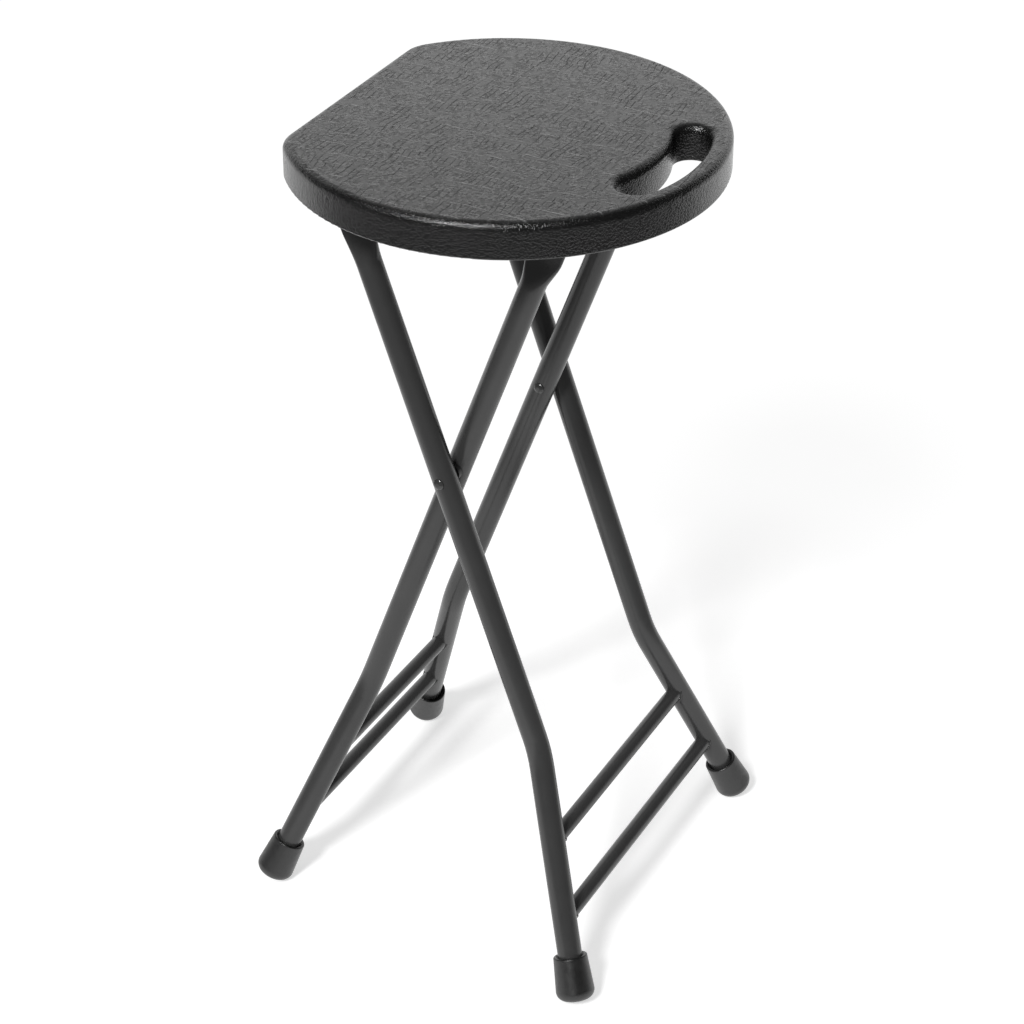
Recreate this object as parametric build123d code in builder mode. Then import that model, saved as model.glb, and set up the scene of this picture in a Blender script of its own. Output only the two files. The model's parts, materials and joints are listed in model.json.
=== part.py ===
from build123d import *
import os
from math import cos, pi, radians, sin, sqrt, tan

# Folding stool: two leg frames crossed at a scissor pivot carry a hollow moulded seat.
# x runs across the stool, -y is the handle side, z is up from the floor.
# The outer legs lean back as they rise and hinge on the seat, the inner legs lean forward
# and carry a rod that drops into two hooks under the handle side of the seat.

# Stance, heights above the floor and angles in degrees
SEAT_HEIGHT = 610.0
PIVOT_HEIGHT = 377.0
BEND_HEIGHT = 169.0
UPPER_CROSSBAR_HEIGHT = 109.0
LOWER_CROSSBAR_HEIGHT = 57.5
LEG_LEAN = 20.0
LEG_SPLAY = 17.7
OUTER_HALF_SPAN = 87.3

# Leg tubes and crossbars
TUBE_DIAMETER = 18.0
TUBE_WALL = 1.5
BEND_RADIUS = 80.0
CROSSBAR_DIAMETER = 12.0
CROSSBAR_WALL = 1.2

# Leg tops pressed flat: round below, then a flat tab up to the pin.
# The steps are shares of the press length at which the section is drawn.
TAB_LENGTH = 11.0
PRESS_LENGTH = 26.0
PRESS_STEPS = (0, 0.15, 0.3, 0.5, 0.7, 0.85, 1)

# Foot caps
FOOT_HEIGHT = 33.0
FOOT_RIM_WALL = 3.4
FOOT_BASE_WALL = 5.7
FOOT_SOLE = 6.0
FOOT_ROUND = 7.0
FOOT_LEAD_IN = 1.5
FOOT_RIM_ROUND = 1.0
FOOT_FLAT = 0.5

# Scissor pivot, with a spacer ring in the gap between the crossed tubes
LEG_GAP = 4.0
RIVET_DIAMETER = 6.0
RIVET_HEAD_DIAMETER = 8.0
RIVET_HEAD_HEIGHT = 1.6
SPACER_DIAMETER = 13.0

# Seat moulding: a round rim cut by a straight back edge, its centre ahead of the scissor pivot
SEAT_RADIUS = 152.3
SEAT_BACK_REACH = 123.5
SEAT_CORNER_RADIUS = 27.4
SEAT_FORWARD = 2.6
SEAT_THICKNESS = 25.9
SEAT_TOP_ROUND = 6.0
SEAT_BOTTOM_ROUND = 1.2
SEAT_WALL = 3.0
BOSS_WALL = 4.0
VENT_DIAMETER = 6.0

# Handle slot, concentric with the rim
HANDLE_WIDTH = 14.8
SLOT_WIDTH = 25.5
SLOT_HALF_ANGLE = 20.5

# Seat hinge
PLATE_THICKNESS = 2.0
CHEEK_THICKNESS = 2.0
CHEEK_RADIUS = 9.0
CHEEK_GAP = 0.5
TAB_TOP_GAP = 3.0
HINGE_PLATE_WIDTH = 34.0
HINGE_PLATE_LENGTH = 44.0
HINGE_PIN_DIAMETER = 6.0
HINGE_PIN_HEAD_DIAMETER = 10.0
HINGE_PIN_HEAD_HEIGHT = 2.0

# Catch rod and hooks
ROD_DIAMETER = 10.0
ROD_END_DIAMETER = 8.0
ROD_HEAD_DIAMETER = 12.0
ROD_HEAD_HEIGHT = 2.0
HOOK_INSET = 23.0
HOOK_THICKNESS = 5.0
HOOK_FRONT_WALL = 8.0
HOOK_DEPTH = 8.0
HOOK_BACK_REACH = 14.0
HOOK_ROUND = 3.0
HOOK_PLATE_WIDTH = 30.0
HOOK_CLEARANCE = 0.3

# Screws
SCREW_DIAMETER = 4.0
SCREW_LENGTH = 14.0
SCREW_HEAD_DIAMETER = 8.0
SCREW_HEAD_HEIGHT = 2.2
SCREW_CROSS_LENGTH = 4.2
SCREW_CROSS_WIDTH = 1.1
SCREW_CROSS_DEPTH = 1.3
SCREW_EDGE = 6.5

# Fits and roundings shared by several pieces
RUNNING_CLEARANCE = 0.05
END_GAP = 0.2
PLATE_CORNER = 4.0
HEAD_CROWN = 0.75
HEAD_FLAT = 0.25
LEAST_ROUND = 0.5
WIDEST_ROUND = 0.45

# Sizes that follow from the ones above
lean = radians(LEG_LEAN)
splay = radians(LEG_SPLAY)
tube_radius = TUBE_DIAMETER / 2
inner_half_span = OUTER_HALF_SPAN - TUBE_DIAMETER - LEG_GAP
tab_thickness = 2 * TUBE_WALL
tab_width = (pi * (TUBE_DIAMETER - TUBE_WALL) - pi * TUBE_WALL) / 2 + tab_thickness
seat_bottom = SEAT_HEIGHT - SEAT_THICKNESS
plate_bottom = seat_bottom - PLATE_THICKNESS
pin_height = plate_bottom - TAB_TOP_GAP - tab_width / 2
pin_reach = (pin_height - PIVOT_HEIGHT) * tan(lean)
leg_tilt_cos = cos(lean) * cos(splay)
leg_tilt_sin = sqrt(1 - leg_tilt_cos**2)
foot_radius = tube_radius + FOOT_BASE_WALL
slot_radius = SEAT_RADIUS - HANDLE_WIDTH - SLOT_WIDTH / 2
boss_radius = SCREW_DIAMETER / 2 + BOSS_WALL
top_round = min(SEAT_TOP_ROUND, WIDEST_ROUND * HANDLE_WIDTH)
cavity_round = max(top_round - SEAT_WALL, LEAST_ROUND)
drill_length = 4 * OUTER_HALF_SPAN

# The lowest point of a tilted foot cap lies just below the floor and is cut flat there
foot_end_height = (
    FOOT_ROUND * (1 - leg_tilt_cos) + (foot_radius - FOOT_ROUND) * leg_tilt_sin - FOOT_FLAT
)
lower_leg_length = (BEND_HEIGHT - foot_end_height) / leg_tilt_cos

# The origin is under the middle of the stool, between the seat's front and the rear feet
foot_reach = (
    (PIVOT_HEIGHT - foot_end_height - FOOT_ROUND * leg_tilt_cos) * tan(lean)
    + (foot_radius - FOOT_ROUND) * sqrt(1 - (sin(lean) * cos(splay)) ** 2)
    + FOOT_ROUND
)
pivot_y = (SEAT_RADIUS + SEAT_FORWARD - foot_reach) / 2
seat_y = pivot_y - SEAT_FORWARD
hinge_y = pivot_y + pin_reach
rod_y = pivot_y - pin_reach

# Hooks stand just inside the inner leg tabs, round the catch rod
hook_half_span = inner_half_span - HOOK_INSET
hook_socket = ROD_DIAMETER / 2 + HOOK_CLEARANCE
hook_front = -hook_socket - HOOK_FRONT_WALL
hook_length = HOOK_BACK_REACH - hook_front
hook_y = rod_y + (HOOK_BACK_REACH + hook_front) / 2

SIDES = {"left": -1, "right": 1}
FRAMES = {"outer": (1, OUTER_HALF_SPAN), "inner": (-1, inner_half_span)}


def save(piece, name):
    """Label a finished piece and write it to its own file."""
    piece.label = name
    export_step(piece, f"parts/{name}.step")


def along_leg(height):
    """Distance up a leg from the scissor pivot to a height above the floor."""
    return (height - PIVOT_HEIGHT) / cos(lean)


def frame_plane(direction):
    """Plane of one leg frame, its y axis up the legs and its origin at the scissor pivot."""
    normal = (0, -cos(lean), direction * sin(lean))
    return Plane((0, pivot_y, PIVOT_HEIGHT), x_dir=(1, 0, 0), z_dir=normal)


def foot_plane(direction, side, half_span):
    """Plane at the bottom of a foot cap, its y axis up the splayed part of the leg."""
    frame = frame_plane(direction)
    across = side * (half_span + lower_leg_length * sin(splay))
    down = along_leg(BEND_HEIGHT) - lower_leg_length * cos(splay)
    bottom = frame.from_local_coords(Vector(across, down, 0))
    inward = frame.x_dir * cos(splay) + frame.y_dir * (side * sin(splay))
    return Plane(bottom, x_dir=inward, z_dir=frame.z_dir)


def cross_plane(x, y, z):
    """Plane facing along x, for anything whose axis runs across the stool."""
    return Plane((x, y, z), x_dir=(0, 1, 0), z_dir=(1, 0, 0))


def pressed_section(plane, radius, flat_thickness, flat_width, share):
    """Outline of a round tube pressed flat by a share from 0, round, to 1, flat."""
    flat = flat_thickness / 2
    round_share = radius * (1 - share)
    side_x = round_share * sqrt(0.5) + flat * share
    side_y = round_share * sqrt(0.5) + (flat_width / 2 - flat) * share
    bulge_x = round_share * (sqrt(2) - 1)
    bulge_y = bulge_x + flat * sqrt(2) * share
    weights = (1, (1 + sqrt(2)) / 3, (1 + sqrt(2)) / 3, 1)
    with BuildSketch(plane) as section:
        with BuildLine():
            for turn in (1, -1):
                foot = (turn * side_x, -turn * side_y)
                foot_pull = (turn * (side_x + bulge_x), turn * (bulge_y - side_y))
                head_pull = (turn * (side_x + bulge_x), turn * (side_y - bulge_y))
                head = (turn * side_x, turn * side_y)
                Bezier(foot, foot_pull, head_pull, head, weights=weights)
                crown = turn * (side_y + bulge_y)
                near_pull = (turn * (side_x - bulge_x), crown)
                far_pull = (-turn * (side_x - bulge_x), crown)
                Bezier(head, near_pull, far_pull, (-turn * side_x, turn * side_y), weights=weights)
        make_face()
    return section.sketch


def leg(direction, side, half_span, pin_diameter):
    """One bent tube with a pivot hole and a flat top drilled for its pin."""
    frame = frame_plane(direction)
    x = side * half_span
    pin = along_leg(pin_height)
    press_start = pin - TAB_LENGTH - PRESS_LENGTH
    tube_end = foot_plane(direction, side, half_span)
    tube_end = frame.to_local_coords(tube_end.origin + tube_end.y_dir * FOOT_SOLE)

    def level(distance):
        center = frame.from_local_coords(Vector(x, distance, 0))
        return Plane(center, x_dir=(1, 0, 0), z_dir=frame.y_dir)

    def pressed(radius, thickness, width, steps):
        sections = []
        for step in steps:
            share = step**2 * (3 - 2 * step)
            plane = level(press_start + PRESS_LENGTH * step)
            sections.append(pressed_section(plane, radius, thickness, width, share))
        return sections

    shell = pressed(tube_radius, tab_thickness, tab_width, PRESS_STEPS)
    hollow = pressed(tube_radius - TUBE_WALL, 0, tab_width - tab_thickness, PRESS_STEPS[:-1])
    pin_section = pressed_section(level(pin), tube_radius, tab_thickness, tab_width, 1)
    front_half = split(pin_section, bisect_by=frame)

    with BuildPart() as tube:
        with BuildLine(frame) as path:
            bend = (x, along_leg(BEND_HEIGHT))
            FilletPolyline((x, press_start), bend, (tube_end.X, tube_end.Y), radius=BEND_RADIUS)
        with BuildSketch(Plane(path.line @ 0, z_dir=path.line % 0)):
            Circle(tube_radius)
            Circle(tube_radius - TUBE_WALL, mode=Mode.SUBTRACT)
        sweep()
        loft(shell)
        loft(hollow, mode=Mode.SUBTRACT)
        extrude(pin_section, amount=-TAB_LENGTH)
        revolve(front_half, axis=Axis(level(pin).origin, (-1, 0, 0)), revolution_arc=180)
        with Locations(cross_plane(0, pivot_y, PIVOT_HEIGHT)):
            Cylinder(RIVET_DIAMETER / 2 + RUNNING_CLEARANCE, drill_length, mode=Mode.SUBTRACT)
        with Locations(cross_plane(0, pivot_y + direction * pin_reach, pin_height)):
            Cylinder(pin_diameter / 2 + RUNNING_CLEARANCE, drill_length, mode=Mode.SUBTRACT)
    return tube.part


def crossbar(direction, half_span, height):
    """A straight tube between two splayed legs, its ends coped round them."""
    frame = frame_plane(direction)
    drop = along_leg(BEND_HEIGHT) - along_leg(height)
    reach = half_span + drop * tan(splay)
    start = frame.from_local_coords(Vector(-reach, along_leg(height), 0))
    with BuildPart() as bar:
        with BuildSketch(cross_plane(*start)):
            Circle(CROSSBAR_DIAMETER / 2)
            Circle(CROSSBAR_DIAMETER / 2 - CROSSBAR_WALL, mode=Mode.SUBTRACT)
        extrude(amount=2 * reach)
        for side in SIDES.values():
            foot = foot_plane(direction, side, half_span)
            with Locations(Plane(foot.origin, x_dir=foot.x_dir, z_dir=foot.y_dir)):
                Cylinder(tube_radius, 2 * lower_leg_length, mode=Mode.SUBTRACT)
    return bar.part


def foot_cap(direction, side, half_span):
    """A tapered rubber cap on a leg end, cut flat where it stands on the floor."""
    plane = foot_plane(direction, side, half_span)
    bore = tube_radius + RUNNING_CLEARANCE
    rim = tube_radius + FOOT_RIM_WALL
    with BuildPart() as cap:
        with BuildSketch(plane) as profile:
            with BuildLine():
                Polyline(
                    (0, 0),
                    (foot_radius, 0),
                    (rim, FOOT_HEIGHT),
                    (bore + FOOT_LEAD_IN, FOOT_HEIGHT),
                    (bore, FOOT_HEIGHT - FOOT_LEAD_IN),
                    (bore, FOOT_SOLE),
                    (0, FOOT_SOLE),
                    close=True,
                )
            make_face()
            fillet(profile.vertices().sort_by_distance((foot_radius, 0))[0], FOOT_ROUND)
            fillet(profile.vertices().sort_by_distance((rim, FOOT_HEIGHT))[0], FOOT_RIM_ROUND)
        revolve(axis=Axis(plane.origin, plane.y_dir))
        split(bisect_by=Plane.XY)
    return cap.part


def headed_pin(x, y, z, grip, diameter, head_diameter, head_height):
    """A pin across the stool with a domed head at each end of its grip."""
    shank = diameter / 2
    head = head_diameter / 2
    flat = head * HEAD_FLAT
    rim = grip / 2 + head_height * (1 - HEAD_CROWN)
    top = grip / 2 + head_height
    with BuildPart() as pin:
        with BuildSketch(Plane((x, y, z), x_dir=(1, 0, 0), z_dir=(0, -1, 0))):
            with BuildLine():
                Line((-top, 0), (-top, flat))
                TangentArc((-top, flat), (-rim, head), tangent=(0, 1))
                Polyline(
                    (-rim, head), (-grip / 2, head), (-grip / 2, shank),
                    (grip / 2, shank), (grip / 2, head), (rim, head),
                )
                TangentArc((top, flat), (rim, head), tangent=(0, 1))
                Line((top, flat), (top, 0))
                Line((-top, 0), (top, 0))
            make_face()
        revolve(axis=Axis((x, y, z), (1, 0, 0)))
    return pin.part


def screw_points(x, y, width, length):
    """Centres of four screws near the corners of a plate."""
    return [
        (x + i * (width / 2 - SCREW_EDGE), y + j * (length / 2 - SCREW_EDGE))
        for i in SIDES.values()
        for j in SIDES.values()
    ]


def screws(points):
    """A group of pan head screws with cross recesses, driven up through a plate into the seat."""
    with BuildPart() as group:
        with BuildSketch(Plane.XY.offset(plate_bottom - SCREW_HEAD_HEIGHT)):
            with Locations(*points):
                Circle(SCREW_HEAD_DIAMETER / 2)
        extrude(amount=SCREW_HEAD_HEIGHT)
        fillet(group.edges().group_by(Axis.Z)[0], HEAD_CROWN * SCREW_HEAD_HEIGHT)
        with BuildSketch(Plane.XY.offset(plate_bottom - SCREW_HEAD_HEIGHT)):
            with Locations(*points):
                Rectangle(SCREW_CROSS_LENGTH, SCREW_CROSS_WIDTH)
                Rectangle(SCREW_CROSS_WIDTH, SCREW_CROSS_LENGTH)
        extrude(amount=SCREW_CROSS_DEPTH, mode=Mode.SUBTRACT)
        with BuildSketch(Plane.XY.offset(plate_bottom)):
            with Locations(*points):
                Circle(SCREW_DIAMETER / 2)
        extrude(amount=SCREW_LENGTH)
    return group.part


def plate_sketch(center, width, length, points):
    """A bracket plate lying against the seat, with its screw holes."""
    with BuildSketch(Plane.XY.offset(plate_bottom)) as plate:
        with Locations(center):
            RectangleRounded(width, length, PLATE_CORNER)
        with Locations(*points):
            Circle(SCREW_DIAMETER / 2 + RUNNING_CLEARANCE, mode=Mode.SUBTRACT)
    return plate.sketch


def hinge_bracket(side, points):
    """A plate with two cheeks that hold the hinge pin on both sides of a leg tab."""
    x = side * OUTER_HALF_SPAN
    cheek_offset = tab_thickness / 2 + CHEEK_GAP + CHEEK_THICKNESS / 2
    drop = plate_bottom - pin_height
    with BuildPart() as bracket:
        extrude(
            plate_sketch((x, hinge_y), HINGE_PLATE_WIDTH, HINGE_PLATE_LENGTH, points),
            amount=PLATE_THICKNESS,
        )
        for cheek in (-1, 1):
            with BuildSketch(cross_plane(x + cheek * cheek_offset, hinge_y, pin_height)):
                Circle(CHEEK_RADIUS)
                with Locations((0, drop / 2)):
                    Rectangle(2 * CHEEK_RADIUS, drop)
                Circle(HINGE_PIN_DIAMETER / 2 + RUNNING_CLEARANCE, mode=Mode.SUBTRACT)
            extrude(amount=CHEEK_THICKNESS / 2, both=True)
    return bracket.part


def catch_hook(side, points):
    """A plate with a hook that keeps the catch rod from moving up or forward."""
    x = side * hook_half_span
    rise = plate_bottom - pin_height
    with BuildPart() as hook:
        extrude(
            plate_sketch((x, hook_y), HOOK_PLATE_WIDTH, hook_length, points),
            amount=PLATE_THICKNESS,
        )
        with BuildSketch(cross_plane(x, rod_y, pin_height)) as profile:
            with BuildLine():
                Polyline(
                    (0, hook_socket),
                    (HOOK_BACK_REACH, hook_socket),
                    (HOOK_BACK_REACH, rise),
                    (hook_front, rise),
                    (hook_front, -HOOK_DEPTH),
                    (-hook_socket, -HOOK_DEPTH),
                    (-hook_socket, 0),
                )
                RadiusArc((-hook_socket, 0), (0, hook_socket), hook_socket)
            make_face()
            fillet(profile.vertices().group_by(Axis.Y)[0], HOOK_ROUND)
        extrude(amount=HOOK_THICKNESS / 2, both=True)
    return hook.part


def catch_rod():
    """A rod across the inner frame, stepped down and riveted over at the leg tabs."""
    shoulder = inner_half_span - tab_thickness / 2 - END_GAP
    grip = 2 * (inner_half_span + tab_thickness / 2 + END_GAP)
    ends = headed_pin(0, rod_y, pin_height, grip, ROD_END_DIAMETER, ROD_HEAD_DIAMETER, ROD_HEAD_HEIGHT)
    with BuildPart() as rod:
        add(ends)
        with BuildSketch(cross_plane(-shoulder, rod_y, pin_height)):
            Circle(ROD_DIAMETER / 2)
        extrude(amount=2 * shoulder)
    return rod.part


def pivot_spacer(side):
    """A plain ring on the rivet that keeps the crossed legs apart."""
    outer_tube_face = side * (OUTER_HALF_SPAN - tube_radius)
    with BuildPart() as spacer:
        with BuildSketch(cross_plane(outer_tube_face, pivot_y, PIVOT_HEIGHT)):
            Circle(SPACER_DIAMETER / 2)
            Circle(RIVET_DIAMETER / 2 + RUNNING_CLEARANCE, mode=Mode.SUBTRACT)
        extrude(amount=-side * (LEG_GAP - END_GAP))
    return spacer.part


def seat_outline(level, inset):
    """The seat seen from above, cut back all round by an inset."""
    with BuildSketch(Plane((0, seat_y, level))) as outline:
        Circle(SEAT_RADIUS)
        with Locations((0, SEAT_BACK_REACH + SEAT_RADIUS)):
            Rectangle(2 * SEAT_RADIUS, 2 * SEAT_RADIUS, mode=Mode.SUBTRACT)
        fillet(outline.vertices(), SEAT_CORNER_RADIUS)
        if inset:
            offset(amount=-inset)
        with BuildLine(mode=Mode.PRIVATE) as slot_line:
            CenterArc((0, 0), slot_radius, 270 - SLOT_HALF_ANGLE, 2 * SLOT_HALF_ANGLE)
        SlotArc(slot_line.edge(), SLOT_WIDTH + 2 * inset, mode=Mode.SUBTRACT)
    return outline.sketch


def seat_shell(points):
    """A hollow seat moulding with bosses for its screws, a vent and a handle slot."""
    with BuildPart() as cavity:
        extrude(seat_outline(seat_bottom + SEAT_WALL, SEAT_WALL), amount=SEAT_THICKNESS - 2 * SEAT_WALL)
        fillet(cavity.edges().group_by(Axis.Z)[-1], cavity_round)
        with BuildSketch(Plane.XY.offset(seat_bottom)):
            with Locations(*points):
                Circle(boss_radius)
        extrude(amount=SEAT_THICKNESS, mode=Mode.SUBTRACT)
    with BuildPart() as shell:
        extrude(seat_outline(seat_bottom, 0), amount=SEAT_THICKNESS)
        fillet(shell.edges().group_by(Axis.Z)[-1], top_round)
        fillet(shell.edges().group_by(Axis.Z)[0], SEAT_BOTTOM_ROUND)
        add(cavity.part, mode=Mode.SUBTRACT)
        with BuildSketch(Plane.XY.offset(seat_bottom)):
            with Locations(*points):
                Circle(SCREW_DIAMETER / 2 + RUNNING_CLEARANCE)
        extrude(amount=SCREW_LENGTH - PLATE_THICKNESS, mode=Mode.SUBTRACT)
        with BuildSketch(Plane((0, seat_y, seat_bottom))):
            Circle(VENT_DIAMETER / 2)
        extrude(amount=2 * SEAT_WALL, mode=Mode.SUBTRACT)
    return shell.part


os.makedirs("parts", exist_ok=True)

# Leg frames
pins = {"outer": HINGE_PIN_DIAMETER, "inner": ROD_END_DIAMETER}
crossbars = {"upper": UPPER_CROSSBAR_HEIGHT, "lower": LOWER_CROSSBAR_HEIGHT}
for frame_name, (direction, half_span) in FRAMES.items():
    for side_name, side in SIDES.items():
        save(leg(direction, side, half_span, pins[frame_name]), f"{frame_name}_leg_{side_name}")
        save(foot_cap(direction, side, half_span), f"{frame_name}_foot_{side_name}")
    for bar_name, bar_height in crossbars.items():
        save(crossbar(direction, half_span, bar_height), f"{frame_name}_{bar_name}_crossbar")
save(catch_rod(), "catch_rod")

# Scissor pivot
rivet_grip = OUTER_HALF_SPAN - inner_half_span + TUBE_DIAMETER + 2 * RUNNING_CLEARANCE
rivet_x = (OUTER_HALF_SPAN + inner_half_span) / 2
for side_name, side in SIDES.items():
    rivet = headed_pin(
        side * rivet_x, pivot_y, PIVOT_HEIGHT, rivet_grip,
        RIVET_DIAMETER, RIVET_HEAD_DIAMETER, RIVET_HEAD_HEIGHT,
    )
    save(rivet, f"pivot_rivet_{side_name}")
    save(pivot_spacer(side), f"pivot_spacer_{side_name}")

# Seat, its hinges and its catch
pin_grip = tab_thickness + 2 * (CHEEK_GAP + CHEEK_THICKNESS + RUNNING_CLEARANCE)
hinge_points = []
hook_points = []
for side_name, side in SIDES.items():
    hinge_x = side * OUTER_HALF_SPAN
    points = screw_points(hinge_x, hinge_y, HINGE_PLATE_WIDTH, HINGE_PLATE_LENGTH)
    save(hinge_bracket(side, points), f"hinge_bracket_{side_name}")
    hinge_points += points
    hinge_pin = headed_pin(
        hinge_x, hinge_y, pin_height, pin_grip,
        HINGE_PIN_DIAMETER, HINGE_PIN_HEAD_DIAMETER, HINGE_PIN_HEAD_HEIGHT,
    )
    save(hinge_pin, f"hinge_pin_{side_name}")
    points = screw_points(side * hook_half_span, hook_y, HOOK_PLATE_WIDTH, hook_length)
    save(catch_hook(side, points), f"catch_hook_{side_name}")
    hook_points += points
save(screws(hinge_points), "hinge_bracket_screws")
save(screws(hook_points), "catch_screws")
save(seat_shell(hinge_points + hook_points), "seat_shell")
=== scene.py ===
"""Looks of the folding stool: finishes, weld beads, studio light and the camera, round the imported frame."""

import json
import math

import bmesh
import bpy
from mathutils import Matrix, Vector


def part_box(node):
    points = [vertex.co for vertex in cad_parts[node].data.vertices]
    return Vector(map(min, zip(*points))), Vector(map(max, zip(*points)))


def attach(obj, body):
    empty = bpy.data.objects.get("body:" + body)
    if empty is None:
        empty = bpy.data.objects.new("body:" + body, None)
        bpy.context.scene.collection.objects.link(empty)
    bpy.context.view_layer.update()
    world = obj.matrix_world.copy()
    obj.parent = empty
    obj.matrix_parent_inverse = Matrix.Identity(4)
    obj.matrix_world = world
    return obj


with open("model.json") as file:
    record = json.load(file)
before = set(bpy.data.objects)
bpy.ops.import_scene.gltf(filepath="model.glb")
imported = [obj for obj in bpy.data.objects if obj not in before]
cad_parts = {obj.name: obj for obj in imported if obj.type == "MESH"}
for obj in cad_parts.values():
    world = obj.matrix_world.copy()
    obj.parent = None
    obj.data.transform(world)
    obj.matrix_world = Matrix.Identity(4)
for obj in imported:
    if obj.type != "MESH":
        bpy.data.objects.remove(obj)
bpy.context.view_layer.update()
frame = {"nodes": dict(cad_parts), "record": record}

MM = 0.001

# Camera, at the photograph's viewing angle
CAMERA_AZIMUTH = math.radians(-62.675)
CAMERA_ELEVATION = math.radians(31.851)
CAMERA_ROLL = math.radians(0.233)
CAMERA_DISTANCE = 2.12544
CAMERA_LENS = 102.82
CAMERA_TARGET = Vector((0.00037, -0.00365, 0.3038))

# Light: one soft key and an even ambient light
KEY_DIRECTION = Vector((-0.735, -0.013, 0.678))
KEY_STRENGTH = 2.05
KEY_SPREAD = math.radians(11.0)
AMBIENT = 0.32

# Backdrop, as gloss sees it: white behind the stool, fading sideways and upward into a dim room
BACKDROP_SIDES = (0.52, 0.80)
BACKDROP_TOP = (0.35, 1.0)
DIM_ROOM = 0.02

# Floor: the shadow fades away from the stool, and gloss sees white near the stool and behind it
FLOOR_RADIUS = 8.0
FLOOR_SIDES = 96
FLOOR_DROP = 0.2 * MM
FLOOR_COLOUR = 0.8
FLOOR_LIFT = 0.54
FADE_SPAN = (0.36, 0.60)
SHADOW_FADE = 0.80
NEAR_SPAN = (0.55, 1.0)
BEHIND_SPAN = (0.1, 0.6)
DIM_FLOOR = 0.15

# Seat: the top, the rim and the side are told apart by how far they face up
TOP_FACING = (0.75, 0.97)
RIM_FACING = (0.1, 0.5)
SIDE_ROUGHNESS = 0.17
RIM_ROUGHNESS = 0.26
# The seat's own black, and the paler grey that painted light on the top reaches at its brightest
SEAT_DARK = 0.006
SEAT_PALE = 0.112
SEAT_SPECULAR = 0.95
SEAT_RADIUS = 152.3 * MM
SEAT_CROWN = 3.0 * MM

# Leather lines on the seat's top. A wander is the size of the bends and how far they swing.
RIDGE_PITCH = 15.5 * MM
RIDGE_HALF_WIDTH = 0.85 * MM
RIDGE_PATCH = 13 * MM
# How much painted highlight the ridges get in the top's colour
RIDGE_HIGHLIGHT = 0.7
CREASE_PITCH = 4.8 * MM
CREASE_HALF_WIDTH = 0.48 * MM
CREASE_PATCH = 15 * MM
CREASE_SHIFT = 41.0
CREASE_ROUGHNESS = 0.3
LINE_STEPS = {"Scale": 1.0, "Randomness": 0.7}
LINE_PATCHES = (0.44, 0.60)
LINE_HEIGHT = 0.9
WIDE_WANDER = (45 * MM, 14 * MM)
FINE_WANDER = (8 * MM, 1.0 * MM)

# Skin between the lines, and how its height turns into colour and roughness
GRAIN_DEPTH = 0.17 * MM
MOTTLE_SIZE = 2.1 * MM
MOTTLE_HEIGHT = 0.52
CALM_SIZE = 8 * MM
CALM_PATCHES = (0.50, 0.64)
CALM_SHARE = 0.25
PEBBLE_SIZE = 1.5 * MM
PEBBLE_HEIGHT = 0.5
# Painted light in the top's colour: paler over the crests, darker in the hollows
PAINTED_LIGHT_SPAN = (-0.4, 2.0)
CREST_HIGHLIGHT = 0.7
MATT_SPAN = (-0.5, 1.5)
HOLLOW_ROUGHNESS = 0.48
CREST_ROUGHNESS = 0.12

# Weld beads, and the legs that they follow
LEG_SPLAY = math.radians(17.7)
LEG_LEAN = math.radians(20.0)
TUBE_RADIUS = 9.0 * MM
WELD_RADIUS = 1.0 * MM
WELD_STEPS = 96
WELD_SIDES = 12
BROAD_RIPPLE = 0.16
BROAD_RIPPLES = 9
FINE_RIPPLE = 0.08
FINE_RIPPLES = 23


def grey(level):
    return (level, level, level, 1.0)


class Nodes:
    """A node tree, with short ways to add and join its nodes."""

    def __init__(self, tree):
        self.tree = tree

    def add(self, kind, inputs=None, **settings):
        """Add a node, set its properties and give its inputs numbers, colours or links."""
        node = self.tree.nodes.new(kind)
        for name, value in settings.items():
            setattr(node, name, value)
        for name, value in (inputs or {}).items():
            self.put(node.inputs[name], value)
        return node

    def put(self, socket, value):
        """Set a socket to a value, or link an output to it."""
        if isinstance(value, bpy.types.NodeSocket):
            self.tree.links.new(value, socket)
        else:
            socket.default_value = value

    def math(self, operation, first, second):
        node = self.add("ShaderNodeMath", {0: first, 1: second}, operation=operation)
        return node.outputs[0]

    def step(self, value, low, high, start=0.0, end=1.0):
        """A smooth step from start to end as value goes from low to high."""
        inputs = {"Value": value, "From Min": low, "From Max": high, "To Min": start, "To Max": end}
        node = self.add("ShaderNodeMapRange", inputs, interpolation_type="SMOOTHSTEP")
        return node.outputs[0]


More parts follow.
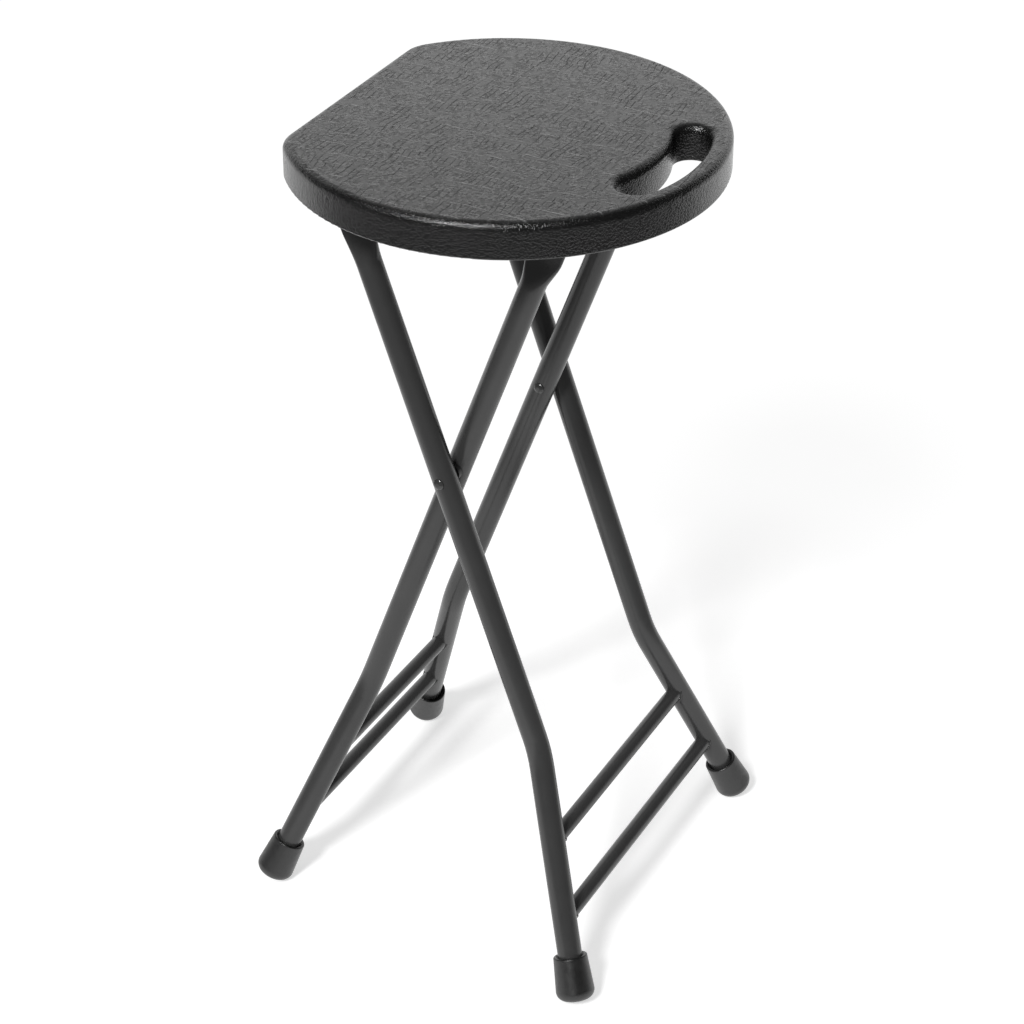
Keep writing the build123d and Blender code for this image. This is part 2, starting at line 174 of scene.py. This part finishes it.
class Finish(Nodes):
    """The nodes of a material with one principled shader."""

    def __init__(self, name):
        self.material = bpy.data.materials.new(name)
        self.material.use_nodes = True
        super().__init__(self.material.node_tree)
        self.shader = self.tree.nodes["Principled BSDF"]
        self.place = self.add("ShaderNodeTexCoord").outputs

    def noise(self, size, detail=2.0, roughness=0.5):
        """Noise from 0 to 1 whose features are about size across, in metres."""
        inputs = {"Vector": self.place["Object"], "Scale": 1 / size, "Detail": detail, "Roughness": roughness}
        return self.add("ShaderNodeTexNoise", inputs).outputs["Fac"]

    def clouds(self, size, low, high, spread=0.2, **settings):
        """Noise from low to high. A smaller spread gives it more contrast."""
        return self.step(self.noise(size, **settings), 0.5 - spread, 0.5 + spread, low, high)

    def blend(self, share, first, second):
        """A colour mix from first to second."""
        node = self.add("ShaderNodeMix", data_type="RGBA")
        for name, value in {"Factor_Float": share, "A_Color": first, "B_Color": second}.items():
            socket = next(s for s in node.inputs if s.identifier == name)
            self.put(socket, value)
        return next(s for s in node.outputs if s.identifier == "Result_Color")

    def tone(self, size, low, high, detail=2.0):
        """A grey that drifts from low to high over about size metres."""
        return self.blend(self.noise(size, detail), grey(low), grey(high))

    def relief(self, height, depth):
        """Bump the shader's normal by a height from 0 to 1 that stands for depth metres."""
        node = self.add("ShaderNodeBump", {"Height": height, "Distance": depth})
        self.put(self.shader.inputs["Normal"], node.outputs["Normal"])

    def set(self, values):
        """Give the shader's inputs numbers, colours or links."""
        for name, value in values.items():
            self.put(self.shader.inputs[name], value)


def leather_lines(f):
    """Ridges that run front to back, and creases that run across from one ridge to the next; the ridges get
    painted highlight and the creases painted shade.
    """
    place = f.add("ShaderNodeSeparateXYZ", {0: f.place["Object"]}).outputs

    def swing(size, reach):
        """A wandering distance of up to half of reach either way."""
        return f.math("MULTIPLY", f.math("SUBTRACT", f.noise(size), 0.5), reach)

    def lines(where, half_width, patches):
        """Lines at irregular steps of where, that come and go with patches."""
        settings = {"voronoi_dimensions": "1D", "feature": "DISTANCE_TO_EDGE"}
        edge = f.add("ShaderNodeTexVoronoi", {"W": where} | LINE_STEPS, **settings).outputs["Distance"]
        line = f.step(edge, 0.0, half_width, 1.0, 0.0)
        return f.math("MULTIPLY", line, f.step(patches, *LINE_PATCHES))

    wander = f.math("ADD", swing(*WIDE_WANDER), swing(*FINE_WANDER))
    ridge_place = f.math("DIVIDE", f.math("ADD", place["X"], wander), RIDGE_PITCH)
    ridges = lines(ridge_place, RIDGE_HALF_WIDTH / RIDGE_PITCH, f.noise(RIDGE_PATCH))

    # Each strip between two ridges shifts its creases by a random amount
    strip = f.add("ShaderNodeTexVoronoi", {"W": ridge_place} | LINE_STEPS, voronoi_dimensions="1D")
    shift = f.add("ShaderNodeSeparateColor", {0: strip.outputs["Color"]}).outputs[0]
    crease_place = f.math("DIVIDE", f.math("SUBTRACT", place["Y"], wander), CREASE_PITCH)
    crease_place = f.math("ADD", crease_place, f.math("MULTIPLY", shift, CREASE_SHIFT))
    creases = lines(crease_place, CREASE_HALF_WIDTH / CREASE_PITCH, f.noise(CREASE_PATCH))
    return ridges, creases


def seat_crown(f):
    """The fall of a slight crown on the seat's top, in units of the grain's depth."""
    level = f.add("ShaderNodeVectorMath", {0: f.place["Object"], 1: (1, 1, 0)}, operation="MULTIPLY")
    level = level.outputs["Vector"]
    reach = f.add("ShaderNodeVectorMath", {0: level, 1: level}, operation="DOT_PRODUCT").outputs["Value"]
    return f.math("MULTIPLY", reach, SEAT_CROWN / SEAT_RADIUS**2 / GRAIN_DEPTH)


def seat_plastic():
    """Black moulded plastic: leather with creases and ridges on top, a fine pebble on the sides."""
    f = Finish("seat_plastic")
    facing = f.add("ShaderNodeSeparateXYZ", {0: f.place["Normal"]}).outputs["Z"]
    top = f.step(facing, *TOP_FACING)
    ridges, creases = (f.math("MULTIPLY", drawn, top) for drawn in leather_lines(f))

    calm = f.step(f.noise(CALM_SIZE), *CALM_PATCHES, 1.0, CALM_SHARE)
    mottle = f.clouds(MOTTLE_SIZE, -MOTTLE_HEIGHT, MOTTLE_HEIGHT, spread=0.18, detail=3.0, roughness=0.6)
    pebble = f.clouds(PEBBLE_SIZE, -PEBBLE_HEIGHT, PEBBLE_HEIGHT, spread=0.15, detail=3.0)
    skin = f.step(top, 0.0, 1.0, pebble, f.math("MULTIPLY", mottle, calm))
    drawn = f.math("MULTIPLY", f.math("SUBTRACT", ridges, creases), LINE_HEIGHT)
    grain = f.math("ADD", f.math("ADD", skin, drawn), 0.5)
    f.relief(f.math("SUBTRACT", grain, seat_crown(f)), GRAIN_DEPTH)

    # Painted highlight along the ridges
    painted_ridge_highlight = f.math("MULTIPLY", ridges, RIDGE_HIGHLIGHT)
    # Painted light on the top only: paler over crests, darker in hollows and creases, so the top is paler
    # than the side
    painted_light = f.math("ADD", painted_ridge_highlight, f.step(grain, *PAINTED_LIGHT_SPAN, 0.0, CREST_HIGHLIGHT))
    matt_creases = f.math("MULTIPLY", creases, CREASE_ROUGHNESS)
    matt = f.math("ADD", f.step(grain, *MATT_SPAN, HOLLOW_ROUGHNESS, CREST_ROUGHNESS), matt_creases)
    side = f.step(facing, *RIM_FACING, SIDE_ROUGHNESS, RIM_ROUGHNESS)
    f.set({
        "Base Color": f.blend(f.math("MULTIPLY", painted_light, top), grey(SEAT_DARK), grey(SEAT_PALE)),
        "Roughness": f.step(top, 0.0, 1.0, side, matt),
        "Specular IOR Level": SEAT_SPECULAR,
    })
    return f.material


def frame_paint():
    """Dark satin powder coat with a faint orange peel."""
    f = Finish("frame_paint")
    peel = f.math("ADD", f.noise(1.4 * MM, detail=1.0), f.math("MULTIPLY", f.noise(0.5 * MM), 0.4))
    f.relief(peel, 0.012 * MM)
    f.set({
        "Base Color": f.tone(30 * MM, 0.040, 0.052, detail=3.0),
        "Roughness": f.clouds(8 * MM, 0.22, 0.27, detail=3.0),
    })
    return f.material


def rubber():
    """Matte moulded rubber with a fine sandy skin."""
    f = Finish("rubber")
    f.relief(f.noise(0.9 * MM), 0.12 * MM)
    f.set({
        "Base Color": f.tone(9 * MM, 0.006, 0.010, detail=3.0),
        "Roughness": f.clouds(4 * MM, 0.35, 0.43),
        "Specular IOR Level": 0.85,
    })
    return f.material


def spacer_plastic():
    """Plain black nylon."""
    f = Finish("spacer_plastic")
    f.relief(f.noise(0.9 * MM), 0.02 * MM)
    f.set({
        "Base Color": f.tone(5 * MM, 0.014, 0.022),
        "Roughness": f.clouds(3 * MM, 0.40, 0.52),
    })
    return f.material


def rivet_paint():
    """The frame's colour on the rivet heads, a little glossier."""
    f = Finish("rivet_paint")
    f.relief(f.noise(1.2 * MM), 0.02 * MM)
    f.set({
        "Base Color": f.tone(3 * MM, 0.034, 0.046),
        "Roughness": f.clouds(1.5 * MM, 0.18, 0.26),
        "Specular IOR Level": 0.65,
    })
    return f.material


def fittings():
    """Zinc plated steel with a cloudy spangle."""
    f = Finish("fittings")
    f.relief(f.noise(0.6 * MM), 0.01 * MM)
    f.set({
        "Base Color": f.tone(6 * MM, 0.40, 0.56, detail=4.0),
        "Metallic": 1.0,
        "Roughness": f.clouds(2 * MM, 0.26, 0.40, detail=3.0),
    })
    return f.material


FINISHES = {
    "seat_plastic": seat_plastic(),
    "frame_paint": frame_paint(),
    "rubber": rubber(),
    "spacer_plastic": spacer_plastic(),
    "rivet_paint": rivet_paint(),
    "fittings": fittings(),
}


def dress_nodes():
    """Give every CAD node the finish of its material slot, and the rivets a finish of their own."""
    for row in frame["record"]["subparts"]:
        node = frame["nodes"][row["node"]]
        name = "rivet_paint" if row["node"].startswith("pivot_rivet") else row["material_slot"]
        for slot in node.material_slots:
            slot.material = FINISHES[name]


def add_piece(name, mesh, body, slot):
    """Put a finished mesh in the scene as a piece that rides on a body."""
    piece = bpy.data.objects.new(name, mesh)
    bpy.context.scene.collection.objects.link(piece)
    mesh.materials.append(FINISHES[slot])
    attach(piece, body)


def weld_path(bar_name, side):
    """The line where a crossbar's coped end meets its leg, as angles round the bar, points and ways out."""
    low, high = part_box(bar_name)
    centre = (low + high) / 2
    bar_radius = (high.z - low.z) / 2
    lean = LEG_LEAN if bar_name.startswith("outer") else -LEG_LEAN
    up_leg = Vector((0, math.sin(lean), math.cos(lean)))
    square = Vector((0, math.cos(lean), -math.sin(lean)))

    def cope(angle):
        """How far the bar's end lies from the leg's axis, at an angle round the bar."""
        depth = math.sqrt(TUBE_RADIUS**2 - (bar_radius * math.sin(angle)) ** 2)
        return (depth - bar_radius * math.cos(angle) * math.sin(LEG_SPLAY)) / math.cos(LEG_SPLAY)

    angles = [2 * math.pi * i / WELD_STEPS for i in range(WELD_STEPS)]
    axis_x = high.x + min(cope(angle) for angle in angles)
    path = []
    for angle in angles:
        outward = up_leg * math.cos(angle) + square * math.sin(angle)
        end = Vector((side * (axis_x - cope(angle)), centre.y, centre.z))
        path.append((angle, end + outward * bar_radius, outward))
    return path


def weld_bead(bar_name, side):
    """A rippled fillet of weld metal round the end of a crossbar."""
    toward_leg = Vector((side, 0, 0))
    turns = [2 * math.pi * j / WELD_SIDES for j in range(WELD_SIDES)]
    build = bmesh.new()
    rings = []
    for angle, point, outward in weld_path(bar_name, side):
        broad = BROAD_RIPPLE * math.cos(BROAD_RIPPLES * angle + side)
        fine = FINE_RIPPLE * math.cos(FINE_RIPPLES * angle)
        radius = WELD_RADIUS * (1 + broad + fine)
        spokes = [outward * math.cos(turn) + toward_leg * math.sin(turn) for turn in turns]
        rings.append([build.verts.new(point + radius * spoke) for spoke in spokes])
    for i, ring in enumerate(rings):
        following = rings[(i + 1) % WELD_STEPS]
        for j in range(WELD_SIDES):
            beside = (j + 1) % WELD_SIDES
            build.faces.new((ring[j], following[j], following[beside], ring[beside]))
    bmesh.ops.recalc_face_normals(build, faces=build.faces)
    mesh = bpy.data.meshes.new(f"weld_{bar_name}")
    build.to_mesh(mesh)
    build.free()
    mesh.shade_smooth()
    return mesh


def weld_beads():
    """Two beads on each of the four crossbars."""
    for frame_name in ("outer", "inner"):
        for level in ("upper", "lower"):
            for side_name, side in (("left", -1), ("right", 1)):
                bead = weld_bead(f"{frame_name}_{level}_crossbar", side)
                name = f"{frame_name}_{level}_weld_{side_name}"
                add_piece(name, bead, f"{frame_name}_frame", "frame_paint")


def add_camera():
    level = math.cos(CAMERA_ELEVATION)
    across = math.sin(CAMERA_AZIMUTH) * level
    along = -math.cos(CAMERA_AZIMUTH) * level
    back = Vector((across, along, math.sin(CAMERA_ELEVATION)))
    right = Vector((math.cos(CAMERA_AZIMUTH), math.sin(CAMERA_AZIMUTH), 0))
    right = Matrix.Rotation(CAMERA_ROLL, 3, back) @ right
    camera = bpy.data.objects.new("camera", bpy.data.cameras.new("camera"))
    camera.data.lens = CAMERA_LENS
    place = Matrix((right, back.cross(right), back)).transposed().to_4x4()
    place.translation = CAMERA_TARGET + CAMERA_DISTANCE * back
    camera.matrix_world = place
    bpy.context.scene.collection.objects.link(camera)
    bpy.context.scene.camera = camera


def add_key_light():
    light = bpy.data.lights.new("key", "SUN")
    light.energy = KEY_STRENGTH
    light.angle = KEY_SPREAD
    lamp = bpy.data.objects.new("key", light)
    lamp.rotation_euler = KEY_DIRECTION.to_track_quat("Z", "Y").to_euler()
    bpy.context.scene.collection.objects.link(lamp)


class Stage(Nodes):
    """The nodes of the world or the floor, which look different to different kinds of ray."""

    def __init__(self, tree):
        super().__init__(tree)
        tree.nodes.clear()
        self.ray = self.add("ShaderNodeLightPath").outputs

    def mirrored(self):
        """One for rays that come off gloss or through glass."""
        return self.math("MAXIMUM", self.ray["Is Glossy Ray"], self.ray["Is Transmission Ray"])

    def behind(self, place):
        """How far a place lies towards the backdrop, away from the camera."""
        away = Vector((-math.sin(CAMERA_AZIMUTH), math.cos(CAMERA_AZIMUTH), 0))
        return self.add("ShaderNodeVectorMath", {0: place, 1: away}, operation="DOT_PRODUCT").outputs["Value"]

    def mix(self, share, first, second):
        """A shader mix from the first node to the second."""
        return self.add("ShaderNodeMixShader", {0: share, 1: first.outputs[0], 2: second.outputs[0]})


def set_world():
    """A white backdrop to the camera, which gloss sees only behind the stool, and an even ambient light."""
    world = bpy.data.worlds.new("studio")
    bpy.context.scene.world = world
    world.use_nodes = True
    s = Stage(world.node_tree)
    direction = s.add("ShaderNodeTexCoord").outputs["Generated"]
    height = s.add("ShaderNodeSeparateXYZ", {0: direction}).outputs["Z"]
    backdrop = s.step(s.behind(direction), *BACKDROP_SIDES)
    backdrop = s.math("MULTIPLY", backdrop, s.step(height, *BACKDROP_TOP, 1.0, 0.0))
    backdrop = s.math("MAXIMUM", backdrop, DIM_ROOM)
    camera_ray = s.ray["Is Camera Ray"]
    shown = s.add("ShaderNodeBackground", {"Color": s.math("MAXIMUM", backdrop, camera_ray), "Strength": 1.0})
    ambient = s.add("ShaderNodeBackground", {"Color": grey(1.0), "Strength": AMBIENT})
    seen = s.math("MAXIMUM", camera_ray, s.mirrored())
    s.add("ShaderNodeOutputWorld", {"Surface": s.mix(seen, ambient, shown).outputs[0]})


def floor_paper():
    """Pale paper that keeps the shadow, runs out into the white backdrop and is clear from below."""
    material = bpy.data.materials.new("floor")
    material.use_nodes = True
    s = Stage(material.node_tree)
    camera_ray = s.ray["Is Camera Ray"]
    place = s.add("ShaderNodeTexCoord").outputs["Object"]
    distance = s.add("ShaderNodeVectorMath", {0: place}, operation="LENGTH").outputs["Value"]

    paper = s.add("ShaderNodeBsdfDiffuse", {"Color": grey(FLOOR_COLOUR)})
    lift = s.math("MULTIPLY", camera_ray, FLOOR_LIFT)
    glow = s.add("ShaderNodeEmission", {"Color": grey(1.0), "Strength": lift})
    lit = s.add("ShaderNodeAddShader", {0: paper.outputs[0], 1: glow.outputs[0]})
    fade = s.math("MULTIPLY", camera_ray, s.step(distance, *FADE_SPAN, 0.0, SHADOW_FADE))
    white = s.add("ShaderNodeEmission", {"Color": grey(1.0), "Strength": 1.0})
    shown = s.mix(fade, lit, white)

    near = s.step(distance, *NEAR_SPAN, 1.0, DIM_FLOOR)
    gloss = s.math("MAXIMUM", near, s.step(s.behind(place), *BEHIND_SPAN))
    reflected = s.add("ShaderNodeEmission", {"Color": grey(1.0), "Strength": gloss})
    upper = s.mix(s.mirrored(), shown, reflected)
    below = s.add("ShaderNodeNewGeometry").outputs["Backfacing"]
    both = s.mix(below, upper, s.add("ShaderNodeBsdfTransparent"))
    s.add("ShaderNodeOutputMaterial", {"Surface": both.outputs[0]})
    return material


def add_floor():
    mesh = bpy.data.meshes.new("floor")
    build = bmesh.new()
    bmesh.ops.create_circle(build, cap_ends=True, segments=FLOOR_SIDES, radius=FLOOR_RADIUS)
    build.to_mesh(mesh)
    build.free()
    mesh.materials.append(floor_paper())
    floor = bpy.data.objects.new("floor", mesh)
    floor.location.z = -FLOOR_DROP
    bpy.context.scene.collection.objects.link(floor)


dress_nodes()
weld_beads()
add_camera()
add_key_light()
set_world()
add_floor()
bpy.context.scene.view_settings.view_transform = "Standard"
